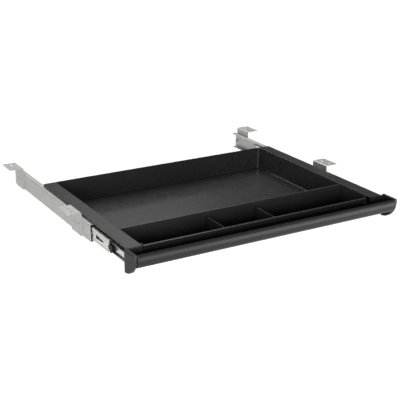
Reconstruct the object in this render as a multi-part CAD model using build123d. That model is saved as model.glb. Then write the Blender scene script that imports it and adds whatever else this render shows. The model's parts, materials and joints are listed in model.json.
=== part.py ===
from build123d import *

import math
import os

# A shallow steel pencil drawer that hangs under a desk top on two three-member ball slides.
#
# Everything is drawn in the drawer's own frame: X = 0 on the centre line, Y = 0 at the front edge
# of the drawer's side flanges with +Y to the rear, and Z = 0 on top of those flanges. The drawer is
# drawn pulled out by about 148 mm. On writing, each node is shifted so that the origin lies midway
# between the four round desk screw holes, in the plane of the desk's underside.
# Right-hand pieces are drawn at +X and mirrored to the left.

# Desk brackets
DESK_GAP = 8.15           # desk underside above the drawer's flanges
BRACKET_SHEET = 1.5
BRACKET_LENGTH = 50.0
BRACKET_REACH = 319.5     # outer edge of the screw tab, from the centre line
BRACKET_BOTTOM = -41.8
BRACKET_CORNER = 4.0
BRACKET_BEND = 1.0
FRONT_BRACKET_Y = 187.5   # front edge of the front bracket
SCREW_HOLE_X = 305.0
SCREW_HOLE_INSET = 11.5   # round hole behind the bracket's front edge
SCREW_HOLE_SPACING = 317.0
SCREW_HOLE_RADIUS = 2.25
SCREW_SLOT_INSET = 34.0   # slot centre behind the bracket's front edge
SCREW_SLOT_LENGTH = 14.0
SCREW_SLOT_WIDTH = 5.0
RIVET_INSETS = (17.5, 34.5)
RIVET_RADIUS = 1.6
RIVET_HEAD_RADIUS = 2.8
RIVET_HEAD = 0.8
RIVET_BORE_RADIUS = 1.0

# Slides: three nested channels of 1 mm steel with balls between their flanges
SLIDE_Z = -22.65          # the slides' centre height
RAIL_SHEET = 1.0
RAIL_BEND = 0.4
OUTER_HALF_HEIGHT = 17.65
OUTER_WEB_X = 289.8       # outer face of the outer rail's web
OUTER_EDGE_X = 279.1
OUTER_FRONT_Y = 150.0
OUTER_LENGTH = 410.0
OUTER_LIP = 1.8
RAIL_STOP = (552.0, 284.4)  # front of the lanced stop tab, and how far in it reaches
RAIL_STOP_HALF_HEIGHT = 4.0
STAMPING_DEPTH = 0.4
MIDDLE_HALF_HEIGHT = 13.35
MIDDLE_WEB_X = 287.0
MIDDLE_EDGE_X = 279.8
MIDDLE_FRONT_Y = 72.0
MIDDLE_LENGTH = 390.0
MIDDLE_LIP = 1.7
INNER_HALF_HEIGHT = 9.75
INNER_WEB_X = 277.1       # drawer side of the inner rail's web
INNER_EDGE_X = 284.0
INNER_FRONT_Y = 5.0
INNER_LENGTH = 398.0
RIB_REAR_Y = 79.0
RIB_HALF_WIDTH = 5.5
RIB_HEIGHT = 2.4

# Ball cages
CAGE_SHEET = 0.6
CAGE_BEND = 0.3
BALLS_PER_ROW = 9
BALL_CLEARANCE = 0.05
CAGE_HOLE_CLEARANCE = 0.1
OUTER_CAGE_Y = (230.0, 380.0)
OUTER_CAGE_X = (281.0, 288.2)
OUTER_BALL_X = 283.6
INNER_CAGE_Y = (150.0, 310.0)
INNER_CAGE_X = (281.2, 285.3)
INNER_BALL_X = 282.9

# Drawer pan
SHEET = 1.0
PAN_HALF_WIDTH = 255.7    # inside
PAN_FRONT = 8.0           # outer face of the front wall
PAN_REAR = 404.5          # inner face of the back wall
PAN_DEPTH = 49.0
PAN_CORNER = 5.0
PAN_SLOPE = 12.0          # the front wall's foot slopes back by this much over the same height
FLOOR_BEND = 1.5
FLANGE_X = 284.3
FLANGE_LIP = 3.0
FLANGE_CHAMFER = 3.0
BEND = 0.6
FRONT_LIP_HALF = 251.0
FRONT_LIP_Y = 4.5
FRONT_LIP_TOP = -3.2
FRONT_LIP_BOTTOM = -12.0

# Pencil tray partition and its two dividers
PARTITION_Y = 96.5        # front face
PARTITION_LIP_Y = 92.5
PARTITION_LIP_BOTTOM = -8.8
PARTITION_FOOT = 10.0
PARTITION_SIDE_GAP = 0.2
PARTITION_TOP_CORNER = 6.0
FOOT_CORNER = 3.0
DIVIDER_X = {"left": -71.0, "right": 41.0}
DIVIDER_TOP = -10.2       # the dividers pass under the partition's lip
DIVIDER_CORNER = 2.0
DIVIDER_FOOT = 8.0
DIVIDER_GAP = 0.2
DIVIDER_SLOPE_GAP = 1.5

# Side channels, which carry the inner rails
CHANNEL_Y = (2.0, 402.0)
CHANNEL_TOP_EDGE_X = 258.0
CHANNEL_BOTTOM = -38.0

# Front pull: a full-width extrusion
PULL_HALF = 286.0
PULL_ARC_CENTRE = (-21.56, -8.68)
PULL_ARC_RADIUS = 21.7
PULL_ARC_TOP = 152.0      # degrees
PULL_ARC_BOTTOM = 224.0
PULL_WALL = 2.2
PULL_WEB_TOP = -18.0
PULL_WEB = 2.0
PULL_WEB_FRONT = -38.8
PULL_FOOT_BOTTOM = -38.0
PULL_NOTCH = (252.0, -3.5)  # the web is cut back outside this x, behind this y
PORT = (-36.8, -14.6)
PORT_RADIUS = 3.5
PORT_BORE_RADIUS = 2.1

# End caps
CAP_X = 293.0
CAP_PLATE = 3.0
CAP_RIM = 2.2
CAP_REAR = -1.5
CAP_TOP = 1.5
CAP_ARC_Z = -4.5          # height of the quarter circle's centre
CAP_RADIUS = 39.0
CAP_BACK_X = 256.5        # inner edge of the cap's back plate
CAP_BACK_Z = (-38.0, -0.3)
CAP_EDGE = 2.2
PEG_RADIUS = 2.0
PEG_LENGTH = 8.0
TONGUE_Y = (-30.0, -12.0)
TONGUE_THICKNESS = 2.3

# Screws
RAIL_SCREW_YS = (85.0, 250.0, 385.0)
PULL_SCREW_XS = (-200.0, -60.0, 60.0, 200.0)
PULL_SCREW_Z = -28.0
SCREW_RADIUS = 2.0
SCREW_HEAD_RADIUS = 3.6
SCREW_HEAD = 1.8
RAIL_SCREW_TIP_X = 271.0
PULL_SCREW_TIP_Y = 5.0
RECESS_WIDTH = 0.9
RECESS_LENGTH = 4.0
RECESS_DEPTH = 1.0

# Release levers and front bumpers
LEVER_PIVOT_Y = 226.0
LEVER_X = (278.3, 281.8)
LEVER_HUB_RADIUS = 4.2
LEVER_PIN_RADIUS = 1.5
LEVER_BORE_RADIUS = 1.55
LEVER_PIN_HEAD_RADIUS = 2.6
LEVER_PIN_HEAD_X = (281.9, 282.7)
LEVER_NOSE_Y = 188.0
LEVER_TAIL_Y = 240.0
NOTCH_RADIUS = 5.0
MIDDLE_BUMPER_FRONT = 60.0
MIDDLE_BUMPER_REAR = 84.0
MIDDLE_BUMPER_X = (281.2, 286.9)
MIDDLE_BUMPER_HALF_HEIGHT = 6.8

ORIGIN_Y = FRONT_BRACKET_Y + SCREW_HOLE_INSET + SCREW_HOLE_SPACING / 2


def box(x, y, z):
    """Box between the two limits given for each axis."""
    corner = Pos(x[0], y[0], z[0])
    return corner * Box(x[1] - x[0], y[1] - y[0], z[1] - z[0], align=(Align.MIN,) * 3)


def rod_x(x, y, z, radius):
    return Pos((x[0] + x[1]) / 2, y, z) * Rot(0, 90, 0) * Cylinder(radius, x[1] - x[0])


def rod_y(x, y, z, radius):
    return Pos(x, (y[0] + y[1]) / 2, z) * Rot(90, 0, 0) * Cylinder(radius, y[1] - y[0])


def rod_z(x, y, z, radius):
    return Pos(x, y, (z[0] + z[1]) / 2) * Cylinder(radius, z[1] - z[0])


def along_x(outline, x):
    """Solid of constant (y, z) outline between two x limits."""
    return extrude(Plane.YZ.offset(x[0]) * outline, amount=x[1] - x[0], dir=(1, 0, 0))


def along_y(outline, y):
    """Solid of constant (x, z) outline between two y limits."""
    return extrude(Plane.XZ.offset(-y[0]) * outline, amount=y[1] - y[0], dir=(0, 1, 0))


def rounded_outline(points, radii):
    return make_face(FilletPolyline(*points, radius=radii, close=True))


def folded_sheet(path, thickness, bend):
    """Section of folded sheet. The path runs along one face, with the metal on its left."""
    face = [Vector(*point) for point in path]
    steps = [(b - a).normalized() for a, b in zip(face, face[1:])]
    sides = [Vector(-step.Y, step.X) for step in steps]
    back = [face[0] + sides[0] * thickness]
    face_radii = [0]
    back_radii = [0]
    turns = zip(face[1:], steps, steps[1:], sides, sides[1:])
    for corner, before, after, side, next_side in turns:
        mitre = (side + next_side) * (thickness / (1 + side.dot(next_side)))
        back.append(corner + mitre)
        turns_left = before.cross(after).Z > 0
        face_radii.append(bend + thickness if turns_left else bend)
        back_radii.append(bend if turns_left else bend + thickness)
    back.append(face[-1] + sides[-1] * thickness)
    face_radii.append(0)
    back_radii.append(0)
    return rounded_outline(face + back[::-1], face_radii + back_radii[::-1])


def window(x, y, z, length, width):
    """Cutter for a round-ended window along Y through a wall that faces X."""
    return along_x(Pos(y, z) * SlotOverall(length, width), x)


def cross_recess(axis_length, width, depth):
    """Cutter for a cross recess, centred on the origin with its mouth at z = 0 and its floor below."""
    arm = Pos(0, 0, -depth / 2)
    return arm * Box(axis_length, width, depth) + arm * Box(width, axis_length, depth)


def bracket(front_y):
    rear_y = front_y + BRACKET_LENGTH
    web_out = OUTER_WEB_X + BRACKET_SHEET
    path = [
        (web_out, BRACKET_BOTTOM),
        (web_out, DESK_GAP - BRACKET_SHEET),
        (BRACKET_REACH, DESK_GAP - BRACKET_SHEET),
    ]
    solid = along_y(folded_sheet(path, BRACKET_SHEET, BRACKET_BEND), (front_y, rear_y))
    web_edges = solid.edges().filter_by(Axis.X).sort_by(Axis.Z)[:2]
    tab_edges = solid.edges().filter_by(Axis.Z).sort_by(Axis.X)[-2:]
    solid = fillet(web_edges + tab_edges, BRACKET_CORNER)
    tab_z = (0, DESK_GAP + 1)
    solid -= rod_z(SCREW_HOLE_X, front_y + SCREW_HOLE_INSET, tab_z, SCREW_HOLE_RADIUS)
    slot = Pos(SCREW_HOLE_X, front_y + SCREW_SLOT_INSET) * Rot(0, 0, 90)
    solid -= extrude(slot * SlotOverall(SCREW_SLOT_LENGTH, SCREW_SLOT_WIDTH), amount=DESK_GAP + 1)
    for inset in RIVET_INSETS:
        solid -= rod_x((OUTER_WEB_X - 1, web_out + 1), front_y + inset, SLIDE_Z, RIVET_RADIUS)
    return solid


def bracket_fronts():
    return (FRONT_BRACKET_Y, FRONT_BRACKET_Y + SCREW_HOLE_SPACING)


def rivets():
    """Hollow rivets that hold both brackets of one side to their outer rail."""
    web_out = OUTER_WEB_X + BRACKET_SHEET
    web_in = OUTER_WEB_X - RAIL_SHEET
    solids = []
    for front_y in bracket_fronts():
        for inset in RIVET_INSETS:
            y = front_y + inset
            shank = rod_x((web_in, web_out + RIVET_HEAD), y, SLIDE_Z, RIVET_RADIUS)
            head = rod_x((web_out, web_out + RIVET_HEAD), y, SLIDE_Z, RIVET_HEAD_RADIUS)
            head = fillet(head.edges().sort_by(Axis.X)[-1:], RIVET_HEAD / 2)
            bore = rod_x((web_in + RAIL_SHEET, web_out + 1), y, SLIDE_Z, RIVET_BORE_RADIUS)
            solids.append(shank + head - bore)
    return Compound(children=solids)


def outward_channel(half_height, edge_x, web_x, lip, sheet, bend):
    """Section of a channel whose web is on its +X side, with flange lips turned in by lip."""
    low = SLIDE_Z - half_height
    high = SLIDE_Z + half_height
    path = [(edge_x, low), (web_x, low), (web_x, high), (edge_x, high)]
    if lip:
        path = [(edge_x, low + lip)] + path + [(edge_x, high - lip)]
    return folded_sheet(path, sheet, bend)


def outer_rail():
    section = outward_channel(
        OUTER_HALF_HEIGHT, OUTER_EDGE_X, OUTER_WEB_X, OUTER_LIP, RAIL_SHEET, RAIL_BEND
    )
    solid = along_y(section, (OUTER_FRONT_Y, OUTER_FRONT_Y + OUTER_LENGTH))
    through = (MIDDLE_WEB_X, OUTER_WEB_X + 1)
    for front_y in bracket_fronts():
        for inset in RIVET_INSETS:
            solid -= rod_x(through, front_y + inset, SLIDE_Z, RIVET_RADIUS)
    web_in = OUTER_WEB_X - RAIL_SHEET
    dimple = (OUTER_WEB_X - STAMPING_DEPTH, OUTER_WEB_X + 1)
    solid -= rod_x(dimple, OUTER_FRONT_Y + 8.5, SLIDE_Z, RIVET_RADIUS)
    stamping = (web_in - 1, web_in + STAMPING_DEPTH)
    solid -= window(stamping, OUTER_FRONT_Y + 320, SLIDE_Z + 7.5, 20, 4)
    stop_y, stop_x = RAIL_STOP
    stop_z = (SLIDE_Z - RAIL_STOP_HALF_HEIGHT, SLIDE_Z + RAIL_STOP_HALF_HEIGHT)
    stop_rear_y = stop_y + RAIL_SHEET
    solid += box((stop_x, OUTER_WEB_X), (stop_y, stop_rear_y), stop_z)
    return solid - box(through, (stop_rear_y, stop_rear_y + web_in - stop_x), stop_z)


def middle_rail():
    section = outward_channel(
        MIDDLE_HALF_HEIGHT, MIDDLE_EDGE_X, MIDDLE_WEB_X, MIDDLE_LIP, RAIL_SHEET, RAIL_BEND
    )
    rear_y = MIDDLE_FRONT_Y + MIDDLE_LENGTH
    solid = along_y(section, (MIDDLE_FRONT_Y, rear_y))
    through = (MIDDLE_WEB_X - 3, MIDDLE_WEB_X + 1)
    solid -= rod_x(through, MIDDLE_FRONT_Y, SLIDE_Z, NOTCH_RADIUS)
    tapered_window = rounded_outline(
        [
            (MIDDLE_FRONT_Y + 25, SLIDE_Z - 0.9),
            (MIDDLE_FRONT_Y + 59, SLIDE_Z - 3.1),
            (MIDDLE_FRONT_Y + 59, SLIDE_Z + 4.9),
            (MIDDLE_FRONT_Y + 25, SLIDE_Z + 2.1),
        ],
        1.2,
    )
    solid -= along_x(tapered_window, through)
    for offset in (75, 200, 300):
        solid -= window(through, MIDDLE_FRONT_Y + offset, SLIDE_Z, 11, 9)
    groove = (MIDDLE_WEB_X - 0.4, MIDDLE_WEB_X + 1)
    for z in (SLIDE_Z - 7.5, SLIDE_Z + 7.5):
        solid -= box(groove, (MIDDLE_FRONT_Y - 1, rear_y + 1), (z - 0.6, z + 0.6))
    return solid


def inner_rail():
    low = SLIDE_Z - INNER_HALF_HEIGHT
    high = SLIDE_Z + INNER_HALF_HEIGHT
    path = [(INNER_EDGE_X, high), (INNER_WEB_X, high), (INNER_WEB_X, low), (INNER_EDGE_X, low)]
    rear_y = INNER_FRONT_Y + INNER_LENGTH
    solid = along_y(folded_sheet(path, RAIL_SHEET, RAIL_BEND), (INNER_FRONT_Y, rear_y))
    web_out = INNER_WEB_X + RAIL_SHEET
    rib = box(
        (INNER_WEB_X, web_out + RIB_HEIGHT),
        (INNER_FRONT_Y, RIB_REAR_Y),
        (SLIDE_Z - RIB_HALF_WIDTH, SLIDE_Z + RIB_HALF_WIDTH),
    )
    solid += fillet(rib.edges().filter_by(Axis.Y).sort_by(Axis.X)[-2:], RAIL_SHEET)
    solid -= box(
        (INNER_WEB_X - 1, INNER_WEB_X + RIB_HEIGHT),
        (INNER_FRONT_Y - 1, RIB_REAR_Y - RAIL_SHEET),
        (SLIDE_Z - RIB_HALF_WIDTH + RAIL_SHEET, SLIDE_Z + RIB_HALF_WIDTH - RAIL_SHEET),
    )
    through = (INNER_WEB_X - 1, web_out + 1)
    for y in RAIL_SCREW_YS:
        solid -= rod_x(through, y, SLIDE_Z, SCREW_RADIUS)
    solid -= rod_x(through, LEVER_PIVOT_Y, SLIDE_Z, LEVER_PIN_RADIUS)
    return solid


def ball_heights(inside, outside):
    """Heights of the upper and lower row of balls between two half heights."""
    middle = (inside + outside) / 2
    return (SLIDE_Z + middle, SLIDE_Z - middle)


def ball_rows(span):
    """Evenly spaced ball positions along a cage."""
    pitch = (span[1] - span[0]) / BALLS_PER_ROW
    return [span[0] + pitch * (i + 0.5) for i in range(BALLS_PER_ROW)]


def cage_set(inside, outside, cage_x, cage_y, ball_x):
    """Ball cage, and its balls, between two facing flange surfaces."""
    middle = (inside + outside) / 2
    radius = (outside - inside) / 2 - BALL_CLEARANCE
    section = outward_channel(middle + CAGE_SHEET / 2, cage_x[0], cage_x[1], 0, CAGE_SHEET, CAGE_BEND)
    cage = along_y(section, cage_y)
    balls = []
    for z in ball_heights(inside, outside):
        for y in ball_rows(cage_y):
            cage -= rod_z(ball_x, y, (z - 1, z + 1), radius + CAGE_HOLE_CLEARANCE)
            balls.append(Pos(ball_x, y, z) * Sphere(radius))
    return cage, Compound(children=balls)


def outer_cage_set():
    outside = OUTER_HALF_HEIGHT - RAIL_SHEET
    return cage_set(MIDDLE_HALF_HEIGHT, outside, OUTER_CAGE_X, OUTER_CAGE_Y, OUTER_BALL_X)


def inner_cage_set():
    outside = MIDDLE_HALF_HEIGHT - RAIL_SHEET
    return cage_set(INNER_HALF_HEIGHT, outside, INNER_CAGE_X, INNER_CAGE_Y, INNER_BALL_X)


def middle_bumper():
    """Plastic stop in the notch at the front of the middle rail."""
    web_in = MIDDLE_WEB_X - RAIL_SHEET
    half = MIDDLE_BUMPER_HALF_HEIGHT
    nose_y = (MIDDLE_BUMPER_FRONT, MIDDLE_FRONT_Y)
    nose = box(MIDDLE_BUMPER_X, nose_y, (SLIDE_Z - half, SLIDE_Z + half))
    nose = fillet(nose.edges().filter_by(Axis.X).sort_by(Axis.Y)[:2], 4.0)
    tail_y = (MIDDLE_FRONT_Y, MIDDLE_BUMPER_REAR)
    tail = box((MIDDLE_BUMPER_X[0], web_in), tail_y, (SLIDE_Z - half + 1, SLIDE_Z + half - 1))
    plug = rod_x((web_in, MIDDLE_BUMPER_X[1]), MIDDLE_FRONT_Y, SLIDE_Z, NOTCH_RADIUS - 0.1)
    return nose + tail + plug


def release_lever():
    """Plastic lever in the inner rail that frees the drawer from its slide when it is lifted."""
    arm = rounded_outline(
        [
            (LEVER_PIVOT_Y, SLIDE_Z - 3.2),
            (LEVER_PIVOT_Y, SLIDE_Z + 3.2),
            (LEVER_NOSE_Y + 9, SLIDE_Z + 2.2),
            (LEVER_NOSE_Y + 6, SLIDE_Z + 4.6),
            (LEVER_NOSE_Y, SLIDE_Z + 4.6),
            (LEVER_NOSE_Y, SLIDE_Z - 2.4),
        ],
        [0, 0, 1.5, 1.2, 1.5, 1.5],
    )
    tail = rounded_outline(
        [
            (LEVER_PIVOT_Y, SLIDE_Z - 1),
            (LEVER_TAIL_Y, SLIDE_Z - 0.6),
            (LEVER_TAIL_Y, SLIDE_Z + 0.6),
            (LEVER_PIVOT_Y, SLIDE_Z + 1),
        ],
        [0, 0.5, 0.5, 0],
    )
    hub = Pos(LEVER_PIVOT_Y, SLIDE_Z) * Circle(LEVER_HUB_RADIUS)
    solid = along_x(arm + tail + hub, LEVER_X)
    grip_y = (LEVER_NOSE_Y + 2, LEVER_NOSE_Y + 4)
    solid += box((LEVER_X[1] - 0.5, LEVER_X[1] + 1), grip_y, (SLIDE_Z - 1.5, SLIDE_Z + 3.5))
    bore = rod_x((LEVER_X[0] - 1, LEVER_X[1] + 1), LEVER_PIVOT_Y, SLIDE_Z, LEVER_BORE_RADIUS)
    return solid - bore


def lever_pin():
    shank = rod_x((INNER_WEB_X, LEVER_PIN_HEAD_X[1]), LEVER_PIVOT_Y, SLIDE_Z, LEVER_PIN_RADIUS)
    head = rod_x(LEVER_PIN_HEAD_X, LEVER_PIVOT_Y, SLIDE_Z, LEVER_PIN_HEAD_RADIUS)
    return shank + head


def pan_block(inset, top):
    """The pan's outer form, or with inset its hollow, up to a top height."""
    grow = SHEET - inset
    front = PAN_FRONT + inset
    bottom = -PAN_DEPTH - grow
    half = PAN_HALF_WIDTH + grow
    block = box((-half, half), (front, PAN_REAR + grow), (bottom, top))
    block = fillet(block.edges().filter_by(Axis.Z), PAN_CORNER + grow)
    block = fillet(block.faces().sort_by(Axis.Z)[0].edges(), FLOOR_BEND + grow)
    slope = PAN_SLOPE - inset * (2 - math.sqrt(2))
    corners = [(front, bottom), (front + slope, bottom), (front, bottom + slope)]
    wedge = make_face(Polyline(*corners, close=True))
    return block - along_x(wedge, (-half, half))


def pan_shell():
    """The pressed pan with its rounded corners and sloped front foot, before flanges and lip."""
    return pan_block(0, 0) - pan_block(SHEET, SHEET)


def side_flange():
    path = [(FLANGE_X, -FLANGE_LIP), (FLANGE_X, 0), (PAN_HALF_WIDTH + SHEET / 2, 0)]
    solid = along_y(folded_sheet(path, SHEET, BEND), (0, PAN_REAR))
    corner = Pos(FLANGE_X, PAN_REAR) * Rot(0, 0, 45)
    size = FLANGE_CHAMFER * math.sqrt(2)
    return solid - corner * Box(size, size, 4 * FLANGE_LIP)


def pan_front_lip():
    path = [
        (PAN_FRONT + SHEET / 2, FRONT_LIP_TOP),
        (FRONT_LIP_Y, FRONT_LIP_TOP),
        (FRONT_LIP_Y, FRONT_LIP_BOTTOM),
    ]
    return along_x(folded_sheet(path, SHEET, BEND), (-FRONT_LIP_HALF, FRONT_LIP_HALF))


def drawer_pan():
    solid = pan_shell()
    wall = (FRONT_LIP_Y, PAN_FRONT + 2 * SHEET)
    solid -= box((-FRONT_LIP_HALF, FRONT_LIP_HALF), wall, (FRONT_LIP_TOP, SHEET))
    flange = side_flange()
    solid = solid + flange + mirror(flange, about=Plane.YZ) + pan_front_lip()
    for x in PULL_SCREW_XS:
        solid -= rod_y(x, (PAN_FRONT - 1, PAN_FRONT + 2), PULL_SCREW_Z, SCREW_RADIUS)
    return solid


def side_channel():
    path = [
        (PAN_HALF_WIDTH + SHEET, CHANNEL_BOTTOM),
        (INNER_WEB_X, CHANNEL_BOTTOM),
        (INNER_WEB_X, -SHEET),
        (CHANNEL_TOP_EDGE_X, -SHEET),
    ]
    solid = along_y(folded_sheet(path, SHEET, BEND), CHANNEL_Y)
    for y in RAIL_SCREW_YS:
        solid -= rod_x((INNER_WEB_X - 2, INNER_WEB_X + 1), y, SLIDE_Z, SCREW_RADIUS)
    return solid


def partition():
    """Wall between the main tray and the pencil tray, with a folded front lip and a rear foot."""
    half = PAN_HALF_WIDTH - PARTITION_SIDE_GAP
    rear = PARTITION_Y + SHEET
    path = [
        (rear + PARTITION_FOOT, -PAN_DEPTH + SHEET),
        (rear, -PAN_DEPTH + SHEET),
        (rear, 0),
        (PARTITION_LIP_Y, 0),
        (PARTITION_LIP_Y, PARTITION_LIP_BOTTOM),
    ]
    solid = along_x(folded_sheet(path, SHEET, BEND), (-half, half))
    blank = rounded_outline(
        [(-half, -PAN_DEPTH), (half, -PAN_DEPTH), (half, 0), (-half, 0)],
        [FOOT_CORNER, FOOT_CORNER, PARTITION_TOP_CORNER, PARTITION_TOP_CORNER],
    )
    return solid & along_y(blank, (PARTITION_LIP_Y - 1, rear + PARTITION_FOOT + 1))


def divider(x):
    """Thin upright between the front wall and the partition, with a foot on the pan's floor."""
    face_x = x + SHEET / 2
    path = [
        (face_x + DIVIDER_FOOT, -PAN_DEPTH + SHEET),
        (face_x, -PAN_DEPTH + SHEET),
        (face_x, DIVIDER_TOP),
    ]
    front = PAN_FRONT + SHEET + DIVIDER_GAP
    rear = PARTITION_Y - DIVIDER_GAP
    slope_y = PAN_FRONT + PAN_SLOPE + DIVIDER_SLOPE_GAP
    solid = along_y(folded_sheet(path, SHEET, BEND), (front, rear))
    blank = rounded_outline(
        [
            (front, slope_y - front - PAN_DEPTH),
            (slope_y, -PAN_DEPTH),
            (rear, -PAN_DEPTH),
            (rear, DIVIDER_TOP),
            (front, DIVIDER_TOP),
        ],
        [0, 0, 1, DIVIDER_CORNER, DIVIDER_CORNER],
    )
    return solid & along_x(blank, (x - SHEET, face_x + DIVIDER_FOOT + 1))


def arc_point(radius, degrees):
    """Point on a circle about the pull's arc centre."""
    angle = math.radians(degrees)
    y, z = PULL_ARC_CENTRE
    return (y + radius * math.cos(angle), z + radius * math.sin(angle))


def pull_blade():
    """Section of the curved front wall of the pull, with rounded edges."""
    outside = PULL_ARC_RADIUS
    inside = PULL_ARC_RADIUS - PULL_WALL
    centre = (outside + inside) / 2
    middle = (PULL_ARC_TOP + PULL_ARC_BOTTOM) / 2
    overrun = math.degrees(PULL_WALL / 2 / centre)
    top = PULL_ARC_TOP
    bottom = PULL_ARC_BOTTOM
    return make_face(
        [
            ThreePointArc(arc_point(outside, top), arc_point(outside, middle), arc_point(outside, bottom)),
            ThreePointArc(
                arc_point(outside, bottom), arc_point(centre, bottom + overrun), arc_point(inside, bottom)
            ),
            ThreePointArc(arc_point(inside, bottom), arc_point(inside, middle), arc_point(inside, top)),
            ThreePointArc(arc_point(inside, top), arc_point(centre, top - overrun), arc_point(outside, top)),
        ]
    )


def front_pull():
    web_z = (PULL_WEB_TOP - PULL_WEB, PULL_WEB_TOP)
    foot_y = (PAN_FRONT - PULL_WEB, PAN_FRONT)
    section = pull_blade()
    section += Pos(PULL_WEB_FRONT, web_z[0]) * Rectangle(
        PAN_FRONT - PULL_WEB_FRONT, PULL_WEB, align=(Align.MIN, Align.MIN)
    )
    section += Pos(foot_y[0], PULL_FOOT_BOTTOM) * Rectangle(
        PULL_WEB, PULL_WEB_TOP - PULL_FOOT_BOTTOM, align=(Align.MIN, Align.MIN)
    )
    section += Pos(*PORT) * Circle(PORT_RADIUS)
    section -= Pos(*PORT) * Circle(PORT_BORE_RADIUS)
    solid = along_x(section, (-PULL_HALF, PULL_HALF))
    notch_x, notch_y = PULL_NOTCH
    for x in ((notch_x, PULL_HALF + 1), (-PULL_HALF - 1, -notch_x)):
        solid -= box(x, (notch_y, PAN_FRONT + 1), (PULL_FOOT_BOTTOM - 1, CAP_TOP))
    for x in PULL_SCREW_XS:
        solid -= rod_y(x, (foot_y[0] - 1, foot_y[1] + 1), PULL_SCREW_Z, SCREW_RADIUS)
    return solid


def cap_outline():
    front = CAP_REAR - CAP_RADIUS
    bottom = CAP_ARC_Z - CAP_RADIUS
    reach = CAP_RADIUS * math.sqrt(0.5)
    return make_face(
        [
            Line((CAP_REAR, CAP_TOP), (front, CAP_TOP)),
            Line((front, CAP_TOP), (front, CAP_ARC_Z)),
            ThreePointArc((front, CAP_ARC_Z), (CAP_REAR - reach, CAP_ARC_Z - reach), (CAP_REAR, bottom)),
            Line((CAP_REAR, bottom), (CAP_REAR, CAP_TOP)),
        ]
    )


def end_cap():
    """Quarter-round cap with a rim and a back plate. A peg and a tongue plug it into the pull."""
    outline = cap_outline()
    plate_in = CAP_X - CAP_PLATE
    plate = along_x(outline, (plate_in, CAP_X))
    plate = fillet(plate.faces().sort_by(Axis.X)[-1].edges(), CAP_EDGE)
    rim = along_x(outline - offset(outline, amount=-CAP_RIM), (PULL_HALF, plate_in))
    back = box((CAP_BACK_X, plate_in), (PULL_NOTCH[1], CAP_REAR), CAP_BACK_Z)
    y, z = PORT
    boss = rod_x((PULL_HALF, plate_in), y, z, PORT_RADIUS)
    peg = rod_x((PULL_HALF - PEG_LENGTH, PULL_HALF), y, z, PEG_RADIUS)
    web_bottom = PULL_WEB_TOP - PULL_WEB
    tongue_x = (PULL_HALF - PEG_LENGTH, plate_in)
    tongue = box(tongue_x, TONGUE_Y, (web_bottom - TONGUE_THICKNESS, web_bottom))
    return plate + rim + back + boss + peg + tongue


def pan_head():
    """Screw head with a cross recess, its seat at z = 0 and its top at z = SCREW_HEAD."""
    head = Pos(0, 0, SCREW_HEAD / 2) * Cylinder(SCREW_HEAD_RADIUS, SCREW_HEAD)
    head = fillet(head.edges().sort_by(Axis.Z)[-1:], SCREW_HEAD / 2)
    return head - Pos(0, 0, SCREW_HEAD) * cross_recess(RECESS_LENGTH, RECESS_WIDTH, RECESS_DEPTH)


def rail_screws():
    """Screws that hold one inner rail to its side channel."""
    seat = INNER_WEB_X + RAIL_SHEET
    solids = []
    for y in RAIL_SCREW_YS:
        head = Pos(seat, y, SLIDE_Z) * Rot(0, 90, 0) * pan_head()
        solids.append(head + rod_x((RAIL_SCREW_TIP_X, seat), y, SLIDE_Z, SCREW_RADIUS))
    return Compound(children=solids)


def pull_screws():
    """Screws from inside the pencil tray, through the front wall, into the pull's foot."""
    seat = PAN_FRONT + SHEET
    solids = []
    for x in PULL_SCREW_XS:
        head = Pos(x, seat, PULL_SCREW_Z) * Rot(-90, 0, 0) * pan_head()
        solids.append(head + rod_y(x, (PULL_SCREW_TIP_Y, seat), PULL_SCREW_Z, SCREW_RADIUS))
    return Compound(children=solids)


def right_hand_nodes():
    """Pieces of the right side, each of which has a mirrored twin on the left."""
    front_y, rear_y = bracket_fronts()
    outer_cage, outer_balls = outer_cage_set()
    inner_cage, inner_balls = inner_cage_set()
    return {
        "bracket_front": bracket(front_y),
        "bracket_rear": bracket(rear_y),
        "bracket_rivets": rivets(),
        "outer_rail": outer_rail(),
        "outer_ball_cage": outer_cage,
        "outer_balls": outer_balls,
        "middle_rail": middle_rail(),
        "middle_bumper": middle_bumper(),
        "inner_ball_cage": inner_cage,
        "inner_balls": inner_balls,
        "inner_rail": inner_rail(),
        "release_lever": release_lever(),
        "lever_pin": lever_pin(),
        "side_channel": side_channel(),
        "rail_screws": rail_screws(),
        "end_cap": end_cap(),
    }


def centre_nodes():
    nodes = {
        "drawer_pan": drawer_pan(),
        "partition": partition(),
        "front_pull": front_pull(),
        "pull_screws": pull_screws(),
    }
    for side, x in DIVIDER_X.items():
        nodes["divider_" + side] = divider(x)
    return nodes


def write(name, shape):
    export_step(Pos(0, -ORIGIN_Y, -DESK_GAP) * shape, os.path.join("parts", name + ".step"))


os.makedirs("parts", exist_ok=True)
for name, shape in right_hand_nodes().items():
    write(name + "_right", shape)
    write(name + "_left", mirror(shape, about=Plane.YZ))
for name, shape in centre_nodes().items():
    write(name, shape)
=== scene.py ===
import json
import math

import bpy
from mathutils import Matrix, Vector


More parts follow.
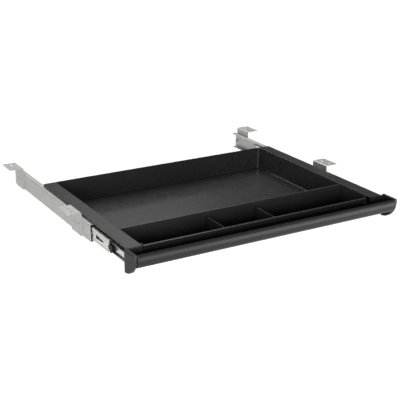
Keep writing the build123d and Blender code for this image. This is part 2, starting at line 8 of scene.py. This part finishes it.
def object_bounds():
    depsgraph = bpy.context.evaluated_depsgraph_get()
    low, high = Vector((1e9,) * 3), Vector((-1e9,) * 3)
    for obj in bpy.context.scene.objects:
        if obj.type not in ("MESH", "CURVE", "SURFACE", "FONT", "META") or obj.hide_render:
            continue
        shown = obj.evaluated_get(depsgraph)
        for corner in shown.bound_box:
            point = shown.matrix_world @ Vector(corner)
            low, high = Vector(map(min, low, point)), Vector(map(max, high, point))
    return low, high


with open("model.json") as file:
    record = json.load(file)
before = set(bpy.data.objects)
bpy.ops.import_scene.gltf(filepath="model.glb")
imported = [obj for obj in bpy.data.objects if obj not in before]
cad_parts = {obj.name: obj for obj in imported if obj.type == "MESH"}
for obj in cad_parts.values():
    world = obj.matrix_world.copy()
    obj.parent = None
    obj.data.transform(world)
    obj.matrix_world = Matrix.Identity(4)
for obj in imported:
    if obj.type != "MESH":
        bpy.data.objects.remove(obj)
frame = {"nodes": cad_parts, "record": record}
CAD_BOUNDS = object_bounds()

SIDES = ("left", "right")
# Slide parts that get a lighter copy of the zinc: painted light where they sit in shade
PAINTED_LIGHT_PARTS = ("middle_rail_", "inner_rail_", "inner_ball_cage_", "outer_ball_cage_")

# Camera: front left of the drawer, looking down on it
CAMERA_AT = (-0.9417, -1.7462, 0.6265)
CAMERA_YAW = 30.04       # degrees from +Y towards +X
CAMERA_PITCH = 19.59     # degrees below the horizon
CAMERA_LENS = 85.49      # mm, on a 36 mm sensor

# Radii of the softened edges, in metres
POWDER_EDGE = 0.0011
PULL_EDGE = 0.0012
ZINC_EDGE = 0.0005
BEVEL_SAMPLES = 16

# Studio
FLOOR_DROP = 0.72        # the drawer hangs at desk height above the floor
FLOOR_SIZE = 60.0
FLOOR_GREY = (0.86, 0.86, 0.86, 1.0)
WORLD_STRENGTH = 0.1
SUN_STRENGTH = 3.8
SUN_ANGLE = 60           # degrees, wide enough for soft shadows
SUN_TILT = -25           # degrees about X
AIR_WHITE = (1.0, 1.0, 1.0, 1.0)

# Soft boxes: azimuth and elevation in degrees, distance and size in metres, power in watts
SOFT_BOXES = {
    "rear_box": (24.5, 28, 3.2, (0.8, 0.7), 1.6),
    "front_box": (205, 9, 2.2, (1.8, 0.6), 58),
    "low_box": (150, -10, 2.4, (2.4, 0.6), 62),
}


def srgb(value):
    """Linear value of an 8-bit sRGB grey."""
    v = value / 255
    return v / 12.92 if v <= 0.04045 else ((v + 0.055) / 1.055) ** 2.4


def grey(value, tint=(1.0, 1.0, 1.0)):
    """Colour of an 8-bit sRGB grey, with a tint."""
    level = srgb(value)
    return tuple(level * t for t in tint) + (1.0,)


class Graph:
    """A material's node tree, with short ways to add and join nodes."""

    def __init__(self, name):
        self.material = bpy.data.materials.new(name)
        self.material.use_nodes = True
        self.nodes = self.material.node_tree.nodes
        self.links = self.material.node_tree.links
        self.shader = self.nodes["Principled BSDF"]
        self.place = self.add("ShaderNodeTexCoord").outputs["Object"]

    def add(self, kind, **settings):
        node = self.nodes.new(kind)
        for key, value in settings.items():
            setattr(node, key, value)
        return node

    def join(self, source, target):
        self.links.new(source, target)

    def stretched(self, scale):
        """Object coordinates, multiplied axis by axis."""
        mapping = self.add("ShaderNodeMapping")
        mapping.inputs["Scale"].default_value = scale
        self.join(self.place, mapping.inputs["Vector"])
        return mapping.outputs["Vector"]

    def noise(self, scale, detail=3.0, rough=0.5, place=None):
        node = self.add("ShaderNodeTexNoise")
        node.inputs["Scale"].default_value = scale
        node.inputs["Detail"].default_value = detail
        node.inputs["Roughness"].default_value = rough
        self.join(place or self.place, node.inputs["Vector"])
        return node.outputs["Fac"]

    def band(self, source, low, high, from_low=0.3, from_high=0.7):
        """source mapped to low..high."""
        node = self.add("ShaderNodeMapRange")
        node.inputs["From Min"].default_value = from_low
        node.inputs["From Max"].default_value = from_high
        node.inputs["To Min"].default_value = low
        node.inputs["To Max"].default_value = high
        self.join(source, node.inputs["Value"])
        return node.outputs["Result"]

    def mix(self, factor, first, second):
        node = self.add("ShaderNodeMix", data_type="RGBA")
        node.inputs["A"].default_value = first
        node.inputs["B"].default_value = second
        self.join(factor, node.inputs["Factor"])
        return node.outputs["Result"]

    def bump(self, source, depth, strength=1.0, under=None):
        """Bump of the given depth in metres, on top of another bump."""
        node = self.add("ShaderNodeBump")
        node.inputs["Distance"].default_value = depth
        node.inputs["Strength"].default_value = strength
        self.join(source, node.inputs["Height"])
        if under is not None:
            self.join(under, node.inputs["Normal"])
        return node.outputs["Normal"]

    def rounded(self, radius):
        """Normals of edges rounded to the given radius in metres."""
        node = self.add("ShaderNodeBevel", samples=BEVEL_SAMPLES)
        node.inputs["Radius"].default_value = radius
        return node.outputs["Normal"]

    def set(self, name, value):
        """A socket of the shader: a number, a colour or another node's output."""
        socket = self.shader.inputs[name]
        if isinstance(value, bpy.types.NodeSocket):
            self.join(value, socket)
        else:
            socket.default_value = value


def powder_coat():
    """Black powder coat: orange peel, a fine grain and faint cloudiness in its gloss."""
    g = Graph("black_powder_coat")
    cloud = g.noise(scale=9.0, detail=4.0)
    gloss = g.noise(scale=35.0, detail=5.0)
    grain = g.noise(scale=2600.0, detail=2.0)
    peel = g.noise(scale=620.0)
    g.set("Base Color", g.mix(cloud, grey(29), grey(34)))
    g.set("Roughness", g.band(gloss, 0.26, 0.30))
    g.set("Specular IOR Level", 0.5)
    peel_bump = g.bump(peel, depth=0.000004, strength=0.5, under=g.rounded(POWDER_EDGE))
    g.set("Normal", g.bump(grain, depth=0.000001, strength=0.5, under=peel_bump))
    return g.material


def extrusion_black():
    """Black finish of the pull, with the fine lines of its die running lengthwise."""
    g = Graph("black_extrusion")
    lines = g.noise(scale=1.0, detail=6.0, rough=0.6, place=g.stretched((3.0, 900.0, 900.0)))
    broad = g.noise(scale=1.0, place=g.stretched((1.2, 140.0, 140.0)))
    g.set("Base Color", g.mix(broad, grey(10), grey(16)))
    g.set("Roughness", g.band(lines, 0.34, 0.44))
    g.set("Specular IOR Level", 0.15)
    g.set("Normal", g.bump(lines, depth=0.00002, strength=0.6, under=g.rounded(PULL_EDGE)))
    return g.material


def moulded_plastic(name, dark, light, rough, grain_depth, gloss):
    """Moulded plastic with a spark-eroded grain."""
    g = Graph(name)
    cloud = g.noise(scale=28.0)
    wear = g.noise(scale=180.0, detail=4.0)
    grain = g.noise(scale=1900.0)
    g.set("Base Color", g.mix(cloud, grey(dark), grey(light)))
    g.set("Roughness", g.band(wear, rough - 0.04, rough + 0.05))
    g.set("Specular IOR Level", gloss)
    g.set("Normal", g.bump(grain, depth=grain_depth, strength=0.6))
    return g.material


def zinc(name, dark, light, rough, metallic, tint=(1.0, 0.998, 0.985)):
    """Zinc-plated sheet: rolling lines along Y, a faint mottle and tiny pits."""
    g = Graph(name)
    mottle = g.noise(scale=70.0, detail=5.0, rough=0.6)
    rolling = g.noise(scale=1.0, detail=5.0, rough=0.65, place=g.stretched((1500.0, 18.0, 1500.0)))
    pits = g.noise(scale=3200.0, detail=2.0)
    g.set("Base Color", g.mix(mottle, grey(dark, tint), grey(light, tint)))
    g.set("Metallic", metallic)
    g.set("Roughness", g.band(rolling, rough - 0.05, rough + 0.07))
    pit_bump = g.bump(pits, depth=0.000006, strength=0.5, under=g.rounded(ZINC_EDGE))
    g.set("Normal", g.bump(rolling, depth=0.00001, strength=0.5, under=pit_bump))
    return g.material


def polished_steel():
    """Ball-bearing steel with hairline lapping marks."""
    g = Graph("bearing_steel")
    mottle = g.noise(scale=400.0)
    lapping = g.noise(scale=2500.0, detail=4.0)
    hairlines = g.noise(scale=5200.0, detail=2.0)
    g.set("Base Color", g.mix(mottle, grey(196), grey(214)))
    g.set("Metallic", 1.0)
    g.set("Roughness", g.band(lapping, 0.08, 0.16))
    g.set("Normal", g.bump(hairlines, depth=0.000003, strength=0.3))
    return g.material


def oxide_steel():
    """Black-oxide screw steel with a fine pitted grain."""
    g = Graph("black_screw_steel")
    cloud = g.noise(scale=500.0, detail=4.0)
    wear = g.noise(scale=900.0)
    grain = g.noise(scale=2800.0, detail=2.0)
    g.set("Base Color", g.mix(cloud, grey(38), grey(54)))
    g.set("Metallic", 1.0)
    g.set("Roughness", g.band(wear, 0.38, 0.52))
    g.set("Normal", g.bump(grain, depth=0.00001, strength=0.5))
    return g.material


def cap_plastic():
    return moulded_plastic(
        "black_cap_plastic", dark=30, light=36, rough=0.5, grain_depth=0.00003, gloss=0.15
    )


def slide_plastic():
    return moulded_plastic(
        "black_slide_plastic", dark=8, light=14, rough=0.45, grain_depth=0.00002, gloss=0.08
    )


MATERIALS = {
    "black_powder_coat": powder_coat(),
    "black_extrusion": extrusion_black(),
    "black_cap_plastic": cap_plastic(),
    "black_slide_plastic": slide_plastic(),
    "zinc_steel": zinc("zinc_steel", dark=158, light=170, rough=0.44, metallic=0.84),
    # Same zinc as zinc_steel, lighter in colour as painted light on the slides' moving rails and
    # cages, and glossier
    "zinc_steel_painted_light": zinc("zinc_steel_painted_light", dark=180, light=200, rough=0.27, metallic=0.95),
    "bearing_steel": polished_steel(),
    "black_screw_steel": oxide_steel(),
}


def dress_cad_nodes():
    """Every CAD node gets its slot's material, and the slides' moving steel a lighter copy of the
    zinc, which is painted light for rails that sit in shade.
    """
    for row in frame["record"]["subparts"]:
        node = frame["nodes"][row["node"]]
        node.data.materials.clear()
        node.data.materials.append(MATERIALS[row["material_slot"]])
    for side in SIDES:
        for part in PAINTED_LIGHT_PARTS:
            frame["nodes"][part + side].data.materials[0] = MATERIALS["zinc_steel_painted_light"]


def make_camera():
    """Fixed camera at the front left."""
    data = bpy.data.cameras.new("camera")
    data.sensor_width = 36.0
    data.lens = CAMERA_LENS
    camera = bpy.data.objects.new("camera", data)
    bpy.context.scene.collection.objects.link(camera)
    tilt = Matrix.Rotation(math.radians(90 - CAMERA_PITCH), 4, "X")
    turn = Matrix.Rotation(math.radians(-CAMERA_YAW), 4, "Z")
    camera.matrix_world = Matrix.Translation(CAMERA_AT) @ turn @ tilt
    bpy.context.scene.camera = camera


def make_floor():
    """Plain pale floor far below the drawer."""
    half = FLOOR_SIZE / 2
    z = CAD_BOUNDS[0][2] - FLOOR_DROP
    corners = [(-half, -half, z), (half, -half, z), (half, half, z), (-half, half, z)]
    mesh = bpy.data.meshes.new("floor")
    mesh.from_pydata(corners, [], [(0, 1, 2, 3)])
    floor = bpy.data.objects.new("floor", mesh)
    bpy.context.scene.collection.objects.link(floor)
    g = Graph("floor_paper")
    g.set("Base Color", FLOOR_GREY)
    g.set("Roughness", 0.9)
    g.set("Specular IOR Level", 0.1)
    mesh.materials.append(g.material)


def area_light(name, azimuth, elevation, distance, size, power):
    """Soft box aimed at the drawer. Azimuth is in degrees from +Y towards +X."""
    data = bpy.data.lights.new(name, "AREA")
    data.shape = "RECTANGLE"
    data.size, data.size_y = size
    data.energy = power
    light = bpy.data.objects.new(name, data)
    a = math.radians(azimuth)
    e = math.radians(elevation)
    direction = Vector((math.sin(a) * math.cos(e), math.cos(a) * math.cos(e), math.sin(e)))
    light.location = direction * distance
    light.rotation_euler = direction.to_track_quat("Z", "Y").to_euler()
    light.visible_camera = False
    bpy.context.scene.collection.objects.link(light)


def make_lights():
    """Dim white surroundings, a wide overhead light and the soft boxes."""
    world = bpy.data.worlds.new("studio")
    world.use_nodes = True
    background = world.node_tree.nodes["Background"]
    background.inputs["Color"].default_value = AIR_WHITE
    background.inputs["Strength"].default_value = WORLD_STRENGTH
    bpy.context.scene.world = world
    sun = bpy.data.lights.new("overhead", "SUN")
    sun.energy = SUN_STRENGTH
    sun.angle = math.radians(SUN_ANGLE)
    top = bpy.data.objects.new("overhead", sun)
    top.rotation_euler = (math.radians(SUN_TILT), 0, 0)
    bpy.context.scene.collection.objects.link(top)
    for name, (azimuth, elevation, distance, size, power) in SOFT_BOXES.items():
        area_light(name, azimuth, elevation, distance, size, power)


dress_cad_nodes()
make_camera()
make_floor()
make_lights()
bpy.context.scene.view_settings.view_transform = "Standard"
